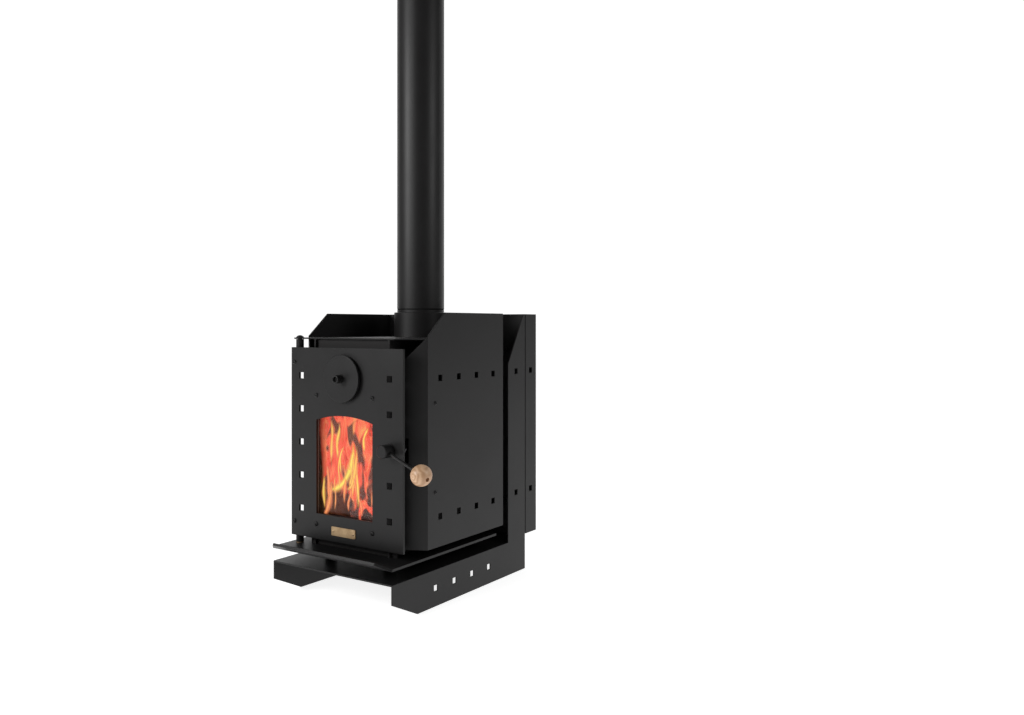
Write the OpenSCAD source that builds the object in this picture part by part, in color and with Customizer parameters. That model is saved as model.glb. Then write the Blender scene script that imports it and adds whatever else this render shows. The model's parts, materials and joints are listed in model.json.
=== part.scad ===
// Wood burning stove on a two-plate stand, with a hinged glazed door, a screw-type air disc and a lever
// latch. Millimetres, +Z up, X across the front, Y from the front to the back.
// Every dimension below is measured in the stove's own frame: X from the window's middle plane, Y from
// the door's front face towards the back, and Z from the floor. place() then moves each piece so that the
// origin is on the floor under the middle of the whole stove.

/* [Door] */
// Width of the door plate
door_w = 303.5; // [302:0.5:304]
// How far the door's middle is to the right of the window's middle
door_off = 2.75; // [2:0.25:3]
// Height of the door plate
door_h = 390; // [388:1:392]
// Thickness of the door plate
door_t = 5; // [4:0.5:5]
// Height of the door's lower edge above the floor
door_z = 121; // [120:0.5:122]
// Side of the square holes in the door
door_hole = 13; // [8:0.5:14]
// Distance between the rows of square holes
hole_pitch = 68.5; // [66:0.5:70]
// Distance of the two columns of square holes from the middle
hole_x = 120; // [118:0.5:122]

/* [Window] */
// Width of the window
window_w = 153; // [140:1:155]
// Height of the window's sill above the floor
window_z = 173; // [172:1:176]
// Height of the window's side edges
window_side_h = 191; // [180:1:192]
// Rise of the arch over the side edges
window_rise = 11; // [5:0.5:14]
// Thickness of the glass
glass_t = 4; // [3:0.5:4]

/* [Air disc] */
// Diameter of the air disc
disc_d = 95; // [88:1:100]
// Height of the disc's centre above the floor
disc_z = 450; // [448:0.5:452]
// Thickness of the disc
disc_t = 5; // [4:0.5:6]
// Gap between the disc and the door as drawn
disc_gap = 4; // [3.5:0.5:5]
// Diameter of the knob on the disc
disc_knob_d = 17; // [16:0.5:20]
// Length of the knob
disc_knob_l = 16; // [12:1:18]

/* [Handle] */
// Diameter of the handle's hub
hub_d = 26; // [24:1:28]
// Length of the hub
hub_l = 24; // [22:1:26]
// Diameter of the lever rod
rod_d = 6; // [5:0.5:7]
// Diameter of the wooden ball
ball_d = 40; // [36:1:42]
// How far the ball is to the right of the hub's axis
ball_dx = 109; // [100:1:112]
// How far the ball is below the hub's axis
ball_dz = 32; // [20:1:40]
// How far the ball is in front of the door's face
ball_out = 38; // [30:1:44]

/* [Firebox] */
// Width over the firebox walls
box_w = 206; // [204:1:207]
// Thickness of the firebox walls
wall_t = 4; // [3:0.5:4]
// Where the walls' front edges are
box_front = 20; // [20:0.5:21]
// Where the back wall's outer face is
box_back = 300; // [298:1:303]
// Thickness of the fire bricks
brick_t = 20; // [15:1:20]

/* [Top and bottom plates] */
// Height of the top plate's underside
top_z = 528; // [527:0.5:529]
// Thickness of the top plate
top_t = 3; // [3:0.5:4]
// Height of the bottom plate's upper face
base_z = 103; // [102:0.5:104]
// Thickness of the bottom plate
base_t = 5; // [4:0.5:6]
// Width of the bottom plate
base_w = 322; // [300:1:322]
// How far the bottom plate's bend is in front of the door
base_front = 37; // [30:1:40]
// Slope of the bottom plate's front lip
lip_angle = 30; // [20:1:32]
// Length of the front lip along its slope
lip_l = 26.5; // [20:0.5:28]
// Corner chamfer of the front lip
lip_chamfer = 24.5; // [10:0.5:30]

/* [Side shields] */
// How far the left shield's outer face is from the middle
shield_left = 154; // [153:0.5:156]
// How far the right shield's outer face is from the middle
shield_right = 172.5; // [171:0.5:175]
// Thickness of the shields
sheet_t = 3; // [2:0.5:3]
// Where each shield's front corner starts from the middle
shield_front_x = 115; // [115:0.5:116]
// Where each shield folds back
fold_y = 52; // [51:0.5:54]
// Where each shield ends at the back
shield_back = 312; // [300:1:315]
// Height of the shields' lower edge
shield_z = 120.5; // [119:0.5:123]
// Height of the shields and the stand's back
shield_top = 582; // [578:1:583]
// Side of the square holes in the shields and the stand
side_hole = 12.5; // [8:0.5:13]

/* [Stand] */
// Width over the stand plates
stand_w = 322; // [322:1:324]
// Height of the deck's upper face
deck_z = 72.5; // [70:0.5:75]
// How far the deck and the rails reach in front of the door
deck_front = 38; // [34:1:39]
// Where the rear arms begin
arm_front = 350; // [345:1:356]
// Where the rear arms end
arm_back = 419; // [416:1:422]
// Where the rear shield's back face is
rear_back = 467; // [464:1:474]

/* [Flue] */
// Inner diameter of the flue pipe
flue_id = 100; // [100:1:100]
// Wall of the flue pipe
flue_wall = 2; // [1.5:0.5:2]
// Where the flue's axis is
flue_y = 241; // [230:1:245]
// Height of the flue pipe's lower rim, on the collar
flue_z = 590; // [588:1:592]
// Diameter of the flue collar
collar_d = 117; // [112:1:117]
// Length of the flue pipe
flue_l = 750; // [500:10:1000]

/* [Hidden] */
$fn = 64;
eps = 0.01;
slack = 0.3;
run_gap = 0.05;

BLACK = "#353334";
DARK = "#232224";
STEEL = "#8c8d8f";
BRASS = "#a9895c";
WOOD = "#d3a473";
BRICK = "#c9b489";
ROPE = "#5b5a56";
GLASS = [0.75, 0.8, 0.82, 0.35];

// Stand and deck
stand_x = stand_w / 2;
rail_front_h = 37.5;
rail_cut_l = 73;
arm_slant_z = 470;
arm_top_l = 5;
arm_hole_y = 382;
rail_hole_y = 92;
side_hole_pitch = 61;
hole_rows = [180, 453];
rear_front = arm_back + sheet_t;
rear_hole_y = 443;
rear_gap_z = 6.5;
rear_spacer_x = 110;
rear_spacer_z = [150, 500];
rear_spacer_d = 20;
m6_hole = 6.5;
nut_d = 11;
nut_h = 5;
boss_d = 24;
boss_x = 80;
boss_y = [45, 270];
bolt_d = 8;
bolt_head_h = 5.3;
bolt_tip_gap = 1.5;

// Firebox
wall_x = box_w / 2;
inner_x = wall_x - wall_t;
base_back = 303;
wing_x = 117;
wing_top = 500;
frame_y = box_front + 6;
frame_t = 3;
sill_z = 136;
lintel_z = 496;
edge_t = 4;
notch_z = 289;
notch_h = 48;
notch_l = 28.1;
keep_x = 111;
floor_brick_h = 25;
brick_top = 400;
baffle_t = 15;
baffle_front = 110;
grate_w = 120;
grate_y = [65, 255];
grate_h = 14;
grate_slots = 9;
grate_bar = 6;
grate_end = 10;
brick_front = frame_y + frame_t + 2;
brick_back_y = box_back - wall_t - slack;
guard_y = frame_y + frame_t + 8;
guard_h = 37;
guard_foot = 18;

// Shields
chamfer_dy = fold_y - box_front;
fold_top = 534;
front_top = 470;
slant_y = 107;
shield_hole_y = 91;
bracket_y = 76;
bracket_w = 24;
bracket_h = 18;
bracket_z = [229, 404];
bracket_screw_l = 12;
top_gap = 0.5;

// Flue
spigot_r = flue_id / 2 - slack;
spigot_top = 650;
collar_top = 584.7;
neck_l = 50;
neck_taper = 6;

// Hinge
hinge_x = 140;
hinge_y = 15;
barrel_d = 16;
pin_d = 8;
pin_l = 36;
lug_r = 12;
lug_link = 12;
cap_h = 5;
cap_d = 17;
barrel_l = 56;
pad_w = 14;
pad_l = 35;
pad_z = [door_z + 3, door_z + door_h - 38];
hinge_screw_z = [150, 480];
washer_t = 1.5;

// Door
middle_z = door_z + door_h / 2;
rows = [-2, -1, 0, 1, 2];
screw_x = window_w / 2;
clamp_z = [151, 414];
glass_x = 88;
glass_z = [160, 404.5];
gasket_t = 4.3;
glass_y = door_t + gasket_t + 0.2;
clip_w = 16;
clip_t = 2;
clip_foot = 8;
clip_l = 25;
clip_y = glass_y + glass_t + 0.2;
glass_screw_l = 20;
rope_r = 6;
rope_x = 101;
rope_z = [134, 498];
rope_y = box_front - 0.5 - rope_r;
channel_t = 2;
channel_gap = rope_r + 0.3;
channel_base = 7.5 - eps;
channel_y = 16.5;
air_hole_r = 8;
air_hole_pcd = 60;
plate_w = 65;
plate_h = 18;
plate_t = 1.5;
plate_z = 143;
plate_corner = 2;
rivet_x = 27;
rivet_d = 3;
rivet_head_r = 2.6;
rivet_head_h = 1.2;

// Air disc
stud_d = 10;
stud_front = 21;
stud_back = 18;
disc_back = -disc_gap;
disc_front = disc_back - disc_t;
recess_t = 1.2;
recess_r = 10.5;
edge_break = 0.6;

// Handle
hub_x = 121;
hub_back = -1;
rod_y = hub_back - 9;
shaft_d = 10;
shaft_in = 5;
socket_start = 3;
ball_bore_z = 8;
bush_d = 16;
tongue_y = frame_y + frame_t + 0.4;
bush_back = tongue_y - slack;
tongue_t = 5;
tongue_l = 16.5;
tongue_w = 7;
tongue_rest = 258;
latch_nut_h = 6;
shaft_back = tongue_y + tongue_t + latch_nut_h + 1.5;
rod_run = [ball_dx, -ball_out - rod_y, -ball_dz];
rod_len = norm(rod_run);

// The origin is on the floor, under the middle of the whole stove
centre_x = (hub_x + ball_dx + ball_d / 2 - stand_x) / 2;
lip_front = base_front + lip_l * cos(lip_angle) + base_t * sin(lip_angle);
centre_y = (rear_back + screw_head_h(6) - lip_front) / 2;

// Proportions of a button-head screw of the given thread
function screw_head_d(d) = d * 1.7;
function screw_head_h(d) = d * 0.55;
function sphere_r(half_chord, rise) = (pow(half_chord, 2) + pow(rise, 2)) / (2 * rise);

// Moves a piece from the stove's frame to the shared origin
module place() {
    translate([-centre_x, -centre_y, 0]) children();
}

// Flat plate parallel to the door, drawn in X and Z, from y to y + t
module front_plate(y, t) {
    translate([0, y + t, 0]) rotate([90, 0, 0]) linear_extrude(t) children();
}

// Flat plate along the stove's side, drawn in Y and Z, from x to x + t
module side_plate(x, t) {
    translate([x, 0, 0]) rotate([90, 0, 90]) linear_extrude(t) children();
}

// Flat level plate, drawn in X and Y, from z to z + t
module level_plate(z, t) {
    translate([0, 0, z]) linear_extrude(t) children();
}

// Round bar along Y between y0 and y1
module rod_along_y(x, z, d, y0, y1) {
    translate([x, y1, z]) rotate([90, 0, 0]) cylinder(d = d, h = y1 - y0);
}

// Square hole of side s centred at a point of a drawing
module square_hole(x, z, s) {
    translate([x, z]) square(s, center = true);
}

// Button-head screw: its head stands on z = 0 and its shank goes down to -l
module button_screw(d, l) {
    head_r = screw_head_d(d) / 2;
    head_h = screw_head_h(d);
    ball_r = sphere_r(head_r, head_h);
    difference() {
        union() {
            intersection() {
                translate([0, 0, head_h - ball_r]) sphere(ball_r);
                cylinder(r = head_r + 1, h = head_h + 1);
            }
            translate([0, 0, -l]) cylinder(d = d, h = l + eps);
        }
        translate([0, 0, head_h * 0.4]) cylinder(d = d * 0.6, h = head_h, $fn = 6);
    }
}

// Button-head screw seen from the front, head on the plane y
module front_screw(x, z, y, d, l) {
    translate([x, y, z]) rotate([90, 0, 0]) button_screw(d, l);
}

// Hexagon nut along +Z, with a plain bore
module hex_nut(d, h) {
    difference() {
        cylinder(d = d * 1.8, h = h, $fn = 6);
        translate([0, 0, -1]) cylinder(d = d, h = h + 2);
    }
}

// Tube along +Z
module tube(od, id, h) {
    difference() {
        cylinder(d = od, h = h);
        translate([0, 0, -1]) cylinder(d = id, h = h + 2);
    }
}

// ---- Stand ----

// Outline of a stand plate: the rail along the floor and the arm up its back
module stand_outline() {
    difference() {
        polygon([
            [-deck_front, deck_z],
            [-deck_front, deck_z - rail_front_h],
            [rail_cut_l - deck_front, 0],
            [arm_back, 0],
            [arm_back, shield_top],
            [arm_back - arm_top_l, shield_top],
            [arm_front, arm_slant_z],
            [arm_front, deck_z]
        ]);
        for (i = [0:3]) square_hole(rail_hole_y + i * side_hole_pitch, deck_z / 2, side_hole);
        for (z = hole_rows) square_hole(arm_hole_y, z, side_hole);
    }
}

module stand_right() place() color(BLACK)
    side_plate(stand_x - sheet_t, sheet_t) stand_outline();

module stand_left() place() color(BLACK)
    side_plate(-stand_x, sheet_t) stand_outline();

// Centres of the four bosses that carry the firebox
module at_bosses() {
    for (x = [-boss_x, boss_x], y = boss_y) translate([x, y, 0]) children();
}

// Centres of the four screws that hold the rear shield
module at_rear_screws(y) {
    for (x = [-rear_spacer_x, rear_spacer_x], z = rear_spacer_z)
        translate([x, y, z]) rotate([-90, 0, 0]) children();
}

module stand_deck() place() color(BLACK)
    difference() {
        translate([-stand_x + sheet_t, -deck_front, deck_z - sheet_t])
            cube([stand_w - 2 * sheet_t, deck_front + arm_back - sheet_t, sheet_t]);
        at_bosses() translate([0, 0, deck_z - 2 * sheet_t]) cylinder(d = bolt_d + 0.5, h = 3 * sheet_t);
    }

module stand_back_panel() place() color(BLACK)
    difference() {
        front_plate(arm_back - sheet_t, sheet_t)
            translate([-stand_x + sheet_t, deck_z - sheet_t])
            square([stand_w - 2 * sheet_t, shield_top - deck_z + sheet_t]);
        at_rear_screws(arm_back - 2 * sheet_t) cylinder(d = m6_hole, h = 3 * sheet_t);
    }

// Channel-shaped sheet behind the stand's back panel
module rear_shield() place() color(BLACK)
    difference() {
        level_plate(deck_z + rear_gap_z, shield_top - deck_z - rear_gap_z) difference() {
            translate([-stand_x, rear_front]) square([stand_w, rear_back - rear_front]);
            translate([-stand_x + sheet_t, rear_front - 1])
                square([stand_w - 2 * sheet_t, rear_back - rear_front + 1 - sheet_t]);
        }
        for (z = hole_rows) translate([-stand_x - 1, rear_hole_y - side_hole / 2, z - side_hole / 2])
            cube([stand_w + 2, side_hole, side_hole]);
        at_rear_screws(rear_back - 2 * sheet_t) cylinder(d = m6_hole, h = 3 * sheet_t);
    }

module rear_shield_spacers() place() color(STEEL)
    at_rear_screws(arm_back) tube(rear_spacer_d, m6_hole, rear_back - sheet_t - arm_back);

// Screws through the rear shield, each with a round nut in front of the back panel
module rear_shield_screws() place() color(DARK)
    at_rear_screws(rear_back) {
        button_screw(6, rear_back - arm_back + sheet_t + nut_h + 4);
        translate([0, 0, arm_back - rear_back - sheet_t - nut_h]) tube(nut_d, 6.02, nut_h);
    }

// Threaded bosses under the bottom plate, which stand on the deck
module base_bosses() place() color(BLACK)
    at_bosses() translate([0, 0, deck_z]) tube(boss_d, bolt_d + 0.02, base_z - base_t - deck_z);

// Bolts from under the deck into the bosses
module base_bolts() place() color(STEEL)
    at_bosses() translate([0, 0, deck_z - sheet_t - bolt_head_h]) {
        cylinder(d = bolt_d * 1.8, h = bolt_head_h, $fn = 6);
        cylinder(d = bolt_d, h = bolt_head_h + sheet_t + base_z - base_t - deck_z - bolt_tip_gap);
    }

// ---- Firebox ----

module bottom_plate() place() color(BLACK)
    difference() {
        union() {
            translate([-base_w / 2, -base_front, base_z - base_t])
                cube([base_w, base_front + base_back, base_t]);
            translate([0, -base_front, base_z]) rotate([-lip_angle, 0, 0])
                translate([0, 0, -base_t]) linear_extrude(base_t) polygon([
                    [-base_w / 2, base_t * tan(lip_angle / 2)],
                    [-base_w / 2, 0],
                    [-base_w / 2 + lip_chamfer, -lip_l],
                    [base_w / 2 - lip_chamfer, -lip_l],
                    [base_w / 2, 0],
                    [base_w / 2, base_t * tan(lip_angle / 2)]
                ]);
        }
        translate([-hinge_x, hinge_y, base_z - 2 * base_t]) cylinder(d = pin_d + 0.04, h = 3 * base_t);
    }

module firebox_wall() {
    translate([inner_x, box_front, base_z]) cube([wall_t, box_back - box_front, top_z - base_z]);
}

module firebox_right_wall() place() color(DARK) firebox_wall();

module firebox_left_wall() place() color(DARK) mirror([1, 0, 0]) firebox_wall();

module firebox_back_wall() place() color(DARK)
    translate([-inner_x, box_back - wall_t, base_z]) cube([2 * inner_x, wall_t, top_z - base_z]);

// Two outer wings, and the lintel and sill with the edges that the door's rope closes on
module front_frame() place() color(DARK) {
    front_plate(frame_y, frame_t) difference() {
        translate([wall_x, base_z]) square([wing_x - wall_x, wing_top - base_z]);
        translate([keep_x, notch_z]) square([wing_x, notch_h]);
    }
    front_plate(frame_y, frame_t)
        translate([-wing_x, base_z]) square([wing_x - wall_x, wing_top - base_z]);
    for (z = [base_z, lintel_z]) front_plate(frame_y, frame_t)
        translate([-inner_x, z]) square([2 * inner_x, z == base_z ? sill_z - base_z : top_z - lintel_z]);
    for (z = [sill_z - edge_t, lintel_z])
        translate([-inner_x, box_front, z]) cube([2 * inner_x, frame_y - box_front + eps, edge_t]);
}

// Plan of the top plate: it follows the side shields and carries the hinge's lug on the left
module top_outline() {
    left_x = shield_left - sheet_t - top_gap;
    right_x = shield_right - sheet_t - top_gap;
    side_y = fold_y + 1.8;
    back_y = shield_back - sheet_t - top_gap;
    polygon([
        [-shield_front_x, box_front],
        [shield_front_x, box_front],
        [right_x, side_y],
        [right_x, back_y],
        [-left_x, back_y],
        [-left_x, side_y]
    ]);
    translate([-hinge_x, hinge_y]) circle(lug_r);
    polygon([
        [-hinge_x, hinge_y - lug_r],
        [-shield_front_x, box_front],
        [-shield_front_x - lug_link, box_front + lug_link + 1],
        [-hinge_x, hinge_y + lug_r]
    ]);
}

module top_plate() place() color(BLACK)
    difference() {
        level_plate(top_z, top_t) top_outline();
        translate([0, flue_y, top_z - 1]) cylinder(r = spigot_r - flue_wall, h = top_t + 2, $fn = 96);
        translate([-hinge_x, hinge_y, top_z - 1]) cylinder(d = pin_d + 0.04, h = top_t + 2);
    }

module brick_floor() place() color(BRICK)
    translate([-inner_x + slack, brick_front, base_z])
        cube([2 * (inner_x - slack), brick_back_y - brick_front, floor_brick_h]);

module side_brick() {
    translate([inner_x - slack - brick_t, brick_front, base_z + floor_brick_h])
        cube([brick_t, brick_back_y - brick_front, brick_top - base_z - floor_brick_h]);
}

module brick_right() place() color(BRICK) side_brick();

module brick_left() place() color(BRICK) mirror([1, 0, 0]) side_brick();

module brick_back() place() color(BRICK)
    translate([-inner_x + 2 * slack + brick_t, brick_back_y - brick_t, base_z + floor_brick_h])
        cube([2 * (inner_x - 2 * slack - brick_t), brick_t, brick_top - base_z - floor_brick_h]);

module baffle_board() place() color(BRICK)
    translate([-inner_x + slack, baffle_front, brick_top])
        cube([2 * (inner_x - slack), brick_back_y - baffle_front, baffle_t]);

module fire_grate() place() color(DARK) {
    grate_l = grate_y[1] - grate_y[0];
    slot_w = (grate_w - grate_bar) / grate_slots - grate_bar;
    translate([-grate_w / 2, grate_y[0], base_z + floor_brick_h]) difference() {
        cube([grate_w, grate_l, grate_h]);
        for (i = [0:grate_slots - 1])
            translate([grate_bar + i * (slot_w + grate_bar), grate_end, -1])
            cube([slot_w, grate_l - 2 * grate_end, grate_h + 2]);
    }
}

// Upright plate that keeps logs off the glass
module log_guard() place() color(DARK) {
    half = inner_x - 2 * slack - brick_t;
    translate([-half, guard_y, base_z + floor_brick_h]) {
        cube([2 * half, sheet_t, guard_h]);
        cube([2 * half, guard_foot, sheet_t]);
    }
}

// ---- Flue ----

// Flue collar with a shoulder that carries the flue pipe, and the spigot inside the pipe
module flue_spigot() place() color(BLACK)
    translate([0, flue_y, 0]) rotate_extrude($fn = 96) polygon([
        [spigot_r - flue_wall, top_z + top_t],
        [collar_d / 2, top_z + top_t],
        [collar_d / 2, collar_top - 1],
        [collar_d / 2 - 1, collar_top],
        [flue_id / 2 + flue_wall - slack, collar_top],
        [flue_id / 2 + flue_wall - slack, flue_z],
        [spigot_r, flue_z],
        [spigot_r, spigot_top],
        [spigot_r - flue_wall, spigot_top]
    ]);

// Pipe with a slightly rolled-in lower rim and a necked upper end for the next length
module flue_pipe() place() color(BLACK)
    translate([0, flue_y, flue_z]) rotate_extrude($fn = 96) {
        r_in = flue_id / 2;
        r_out = r_in + flue_wall;
        polygon([
            [r_in, 0],
            [r_out - 1, 0],
            [r_out, 3],
            [r_out, flue_l - neck_l - neck_taper],
            [spigot_r, flue_l - neck_l],
            [spigot_r, flue_l],
            [spigot_r - flue_wall, flue_l],
            [spigot_r - flue_wall, flue_l - neck_l],
            [r_in, flue_l - neck_l - neck_taper]
        ]);
    }

// ---- Side shields ----

// Length of the folded part of a shield whose outer face is at fold_x
function chamfer_l(fold_x) = norm([fold_x - shield_front_x, chamfer_dy]);

// Plan of one bent shield: the part folded towards the door, and the part along the side
module shield_plan(fold_x) {
    chamfer_dx = fold_x - shield_front_x;
    across = [-chamfer_dy, chamfer_dx] * sheet_t / chamfer_l(fold_x);
    bend = atan2(chamfer_dx, chamfer_dy);
    polygon([
        [shield_front_x, box_front],
        [fold_x, fold_y],
        [fold_x, shield_back],
        [fold_x - sheet_t, shield_back],
        [fold_x - sheet_t, fold_y + sheet_t * tan(bend / 2)],
        [shield_front_x, box_front] + across
    ]);
}

// Turns a drawing in X and Z into a cutter through the folded part, with X along it from the fold
module cut_folded_part(fold_x) {
    translate([fold_x, fold_y, 0]) rotate([0, 0, atan2(fold_x - shield_front_x, -chamfer_dy)])
        side_plate(-1, sheet_t + 2) children();
}

module side_shield(fold_x, notched) {
    over = shield_top + 10;
    slope = (fold_top - front_top) / chamfer_l(fold_x);
    difference() {
        level_plate(shield_z, shield_top - shield_z) shield_plan(fold_x);
        side_plate(fold_x - 20, 30) {
            polygon([
                [fold_y - 5, fold_top - 5 * (shield_top - fold_top) / (slant_y - fold_y)],
                [slant_y, shield_top],
                [slant_y, over],
                [fold_y - 5, over]
            ]);
            for (i = [0:3], z = hole_rows)
                square_hole(shield_hole_y + i * side_hole_pitch, z, side_hole);
            for (z = bracket_z) translate([bracket_y, z]) circle(d = 5.5);
        }
        cut_folded_part(fold_x) polygon([
            [-0.5, fold_top + 0.5 * slope],
            [chamfer_l(fold_x) + 5, front_top - 5 * slope],
            [chamfer_l(fold_x) + 5, over],
            [-0.5, over]
        ]);
        if (notched) cut_folded_part(fold_x)
            translate([chamfer_l(fold_x) - notch_l, notch_z]) square([notch_l + 5, notch_h]);
    }
}

module side_shield_right() place() color(BLACK) side_shield(shield_right, true);

module side_shield_left() place() color(BLACK) mirror([1, 0, 0]) side_shield(shield_left, false);

// Plate that closes the casing behind the firebox, between the two shields
module casing_back() place() color(BLACK)
    front_plate(shield_back - sheet_t, sheet_t)
        translate([sheet_t - shield_left, shield_z])
        square([shield_left + shield_right - 2 * sheet_t, shield_top - shield_z]);

// Folded brackets that hold a shield off the firebox's wall
module brackets(fold_x) {
    reach = fold_x - sheet_t - wall_x;
    for (z = bracket_z) translate([wall_x, bracket_y - bracket_w / 2, z - bracket_h / 2]) difference() {
        union() {
            cube([sheet_t, bracket_w, bracket_h]);
            translate([0, 0, bracket_h - sheet_t]) cube([reach, bracket_w, sheet_t]);
            translate([reach - sheet_t, 0, 0]) cube([sheet_t, bracket_w, bracket_h]);
        }
        translate([reach - 2 * sheet_t, bracket_w / 2, bracket_h / 2]) rotate([0, 90, 0])
            cylinder(d = 5.02, h = 3 * sheet_t);
    }
}

module shield_brackets() place() color(DARK) {
    brackets(shield_right);
    mirror([1, 0, 0]) brackets(shield_left);
}

module bracket_screws(fold_x) {
    for (z = bracket_z)
        translate([fold_x, bracket_y, z]) rotate([0, 90, 0]) button_screw(5, bracket_screw_l);
}

module shield_screws() place() color(DARK) {
    bracket_screws(shield_right);
    mirror([1, 0, 0]) bracket_screws(shield_left);
}

// ---- Hinge ----

module hinge_pin_top() place() color(BLACK)
    translate([-hinge_x, hinge_y, top_z + top_t]) {
        ball_r = sphere_r(cap_d / 2, cap_h);
        intersection() {
            translate([0, 0, cap_h - ball_r]) sphere(ball_r);
            cylinder(d = cap_d + 2, h = cap_h + 1);
        }
        translate([0, 0, -top_t - pin_l]) cylinder(d = pin_d, h = top_t + pin_l + eps);
    }

module hinge_pin_bottom() place() color(STEEL)
    translate([-hinge_x, hinge_y, base_z - base_t]) cylinder(d = pin_d, h = base_t + pin_l);

module hinge_washer() place() color(BRASS)
    translate([-hinge_x, hinge_y, base_z]) tube(barrel_d, pin_d + 2 * run_gap, washer_t);

// Two short barrels, each on the pad that its screw pulls against the door
module hinge_barrels() place() color(BLACK)
    for (top = [0, 1]) {
        z = top == 1 ? top_z - 0.5 - barrel_l : base_z + washer_t;
        difference() {
            union() {
                translate([-hinge_x, hinge_y, z]) cylinder(d = barrel_d, h = barrel_l);
                translate([-hinge_x - pad_w / 2, door_t, pad_z[top]])
                    cube([pad_w, hinge_y - door_t - pin_d / 2, pad_l]);
            }
            translate([-hinge_x, hinge_y, z - 1]) cylinder(d = pin_d + 2 * run_gap, h = barrel_l + 2);
            rod_along_y(-hinge_x, hinge_screw_z[top], 6.02, 0, hinge_y);
        }
    }

module hinge_screws() place() color(BLACK)
    for (z = hinge_screw_z) front_screw(-hinge_x, z, 0, 6, hinge_y - pin_d / 2 - 0.5);

// ---- Door ----

module window_outline() {
    top_r = sphere_r(window_w / 2, window_rise);
    intersection() {
        translate([-window_w / 2, window_z]) square([window_w, window_side_h + window_rise]);
        translate([0, window_z + window_side_h + window_rise - top_r]) circle(top_r, $fn = 180);
    }
}

module door_plate() place() color(BLACK)
    front_plate(0, door_t) difference() {
        translate([door_off - door_w / 2, door_z]) square([door_w, door_h]);
        window_outline();
        for (k = rows) square_hole(-hole_x, middle_z + k * hole_pitch, door_hole);
        for (k = rows) if (k != 0) square_hole(hole_x, middle_z + k * hole_pitch, door_hole);
        translate([hub_x, middle_z]) circle(d = bush_d);
        translate([0, disc_z]) {
            circle(d = stud_d + 0.04);
            for (a = [30:60:330]) rotate(a) translate([air_hole_pcd / 2, 0]) circle(air_hole_r);
        }
        for (x = [-screw_x, screw_x], z = clamp_z) translate([x, z]) circle(d = m6_hole);
        for (z = hinge_screw_z) translate([-hinge_x, z]) circle(d = m6_hole);
        for (x = [-rivet_x, rivet_x]) translate([x, plate_z]) circle(d = rivet_d + 0.02);
    }

module glass_pane() place() color(GLASS)
    front_plate(glass_y, glass_t)
        translate([-glass_x, glass_z[0]]) square([2 * glass_x, glass_z[1] - glass_z[0]]);

module glass_gasket() place() color(ROPE)
    front_plate(door_t, gasket_t) difference() {
        translate([-glass_x, glass_z[0] + 1]) square([2 * glass_x, glass_z[1] - glass_z[0] - 2]);
        translate([-window_w / 2 - 1.5, window_z - 2])
            square([window_w + 3, window_side_h + window_rise + 6]);
    }

// Folded clips that press the glass's corners towards the door
module glass_clips() place() color(DARK)
    for (x = [-screw_x, screw_x], up = [0, 1])
        translate([x - clip_w / 2, 0, clamp_z[up]]) mirror([0, 0, up]) difference() {
            union() {
                translate([0, clip_y, -clip_foot]) cube([clip_w, clip_t, clip_l]);
                translate([0, door_t, -clip_foot]) cube([clip_w, clip_y - door_t + eps, clip_t]);
            }
            rod_along_y(clip_w / 2, 0, m6_hole, 0, clip_y + 2 * clip_t);
        }

module glass_screws() place() color(BLACK)
    for (x = [-screw_x, screw_x], z = clamp_z) front_screw(x, z, 0, 6, glass_screw_l);

module glass_nuts() place() color(STEEL)
    for (x = [-screw_x, screw_x], z = clamp_z)
        translate([x, clip_y + clip_t, z]) rotate([-90, 0, 0]) hex_nut(6.02, 4);

// Rectangular ring between an inner and an outer offset from the rope's centre line
module rope_ring(inner, outer) {
    difference() {
        translate([-rope_x - outer, rope_z[0] - outer])
            square([2 * (rope_x + outer), rope_z[1] - rope_z[0] + 2 * outer]);
        translate([-rope_x - inner, rope_z[0] - inner])
            square([2 * (rope_x + inner), rope_z[1] - rope_z[0] + 2 * inner]);
    }
}

module rope_channel() place() color(DARK) {
    deep = channel_gap + channel_t;
    front_plate(door_t, channel_y - door_t) rope_ring(channel_gap, deep);
    front_plate(door_t, channel_y - door_t) rope_ring(-deep, -channel_gap);
    front_plate(door_t, channel_base - door_t) rope_ring(-channel_gap - eps, channel_gap + eps);
}

module door_rope() place() color(ROPE)
    translate([0, rope_y, 0]) {
        for (z = rope_z)
            translate([-rope_x, 0, z]) rotate([0, 90, 0]) cylinder(r = rope_r, h = 2 * rope_x);
        for (x = [-rope_x, rope_x]) {
            translate([x, 0, rope_z[0]]) cylinder(r = rope_r, h = rope_z[1] - rope_z[0]);
            for (z = rope_z) translate([x, 0, z]) sphere(rope_r);
        }
    }

// Blank plate with round corners
module name_plate() place() color(BRASS)
    front_plate(-plate_t, plate_t) difference() {
        translate([0, plate_z]) {
            square([plate_w - 2 * plate_corner, plate_h], center = true);
            square([plate_w, plate_h - 2 * plate_corner], center = true);
            for (x = [-1, 1], z = [-1, 1])
                translate([x * (plate_w / 2 - plate_corner), z * (plate_h / 2 - plate_corner)])
                circle(plate_corner);
        }
        for (x = [-rivet_x, rivet_x]) translate([x, plate_z]) circle(d = rivet_d + 0.02);
    }

module name_plate_rivets() place() color(BRASS)
    for (x = [-rivet_x, rivet_x]) translate([x, -plate_t, plate_z]) rotate([90, 0, 0]) {
        ball_r = sphere_r(rivet_head_r, rivet_head_h);
        intersection() {
            translate([0, 0, rivet_head_h - ball_r]) sphere(ball_r);
            cylinder(r = rivet_head_r + 1, h = rivet_head_h + 1);
        }
        translate([0, 0, -plate_t - door_t]) cylinder(d = rivet_d, h = plate_t + door_t + eps);
    }

module air_stud() place() color(STEEL)
    rod_along_y(0, disc_z, stud_d, -stud_front, stud_back);

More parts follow.
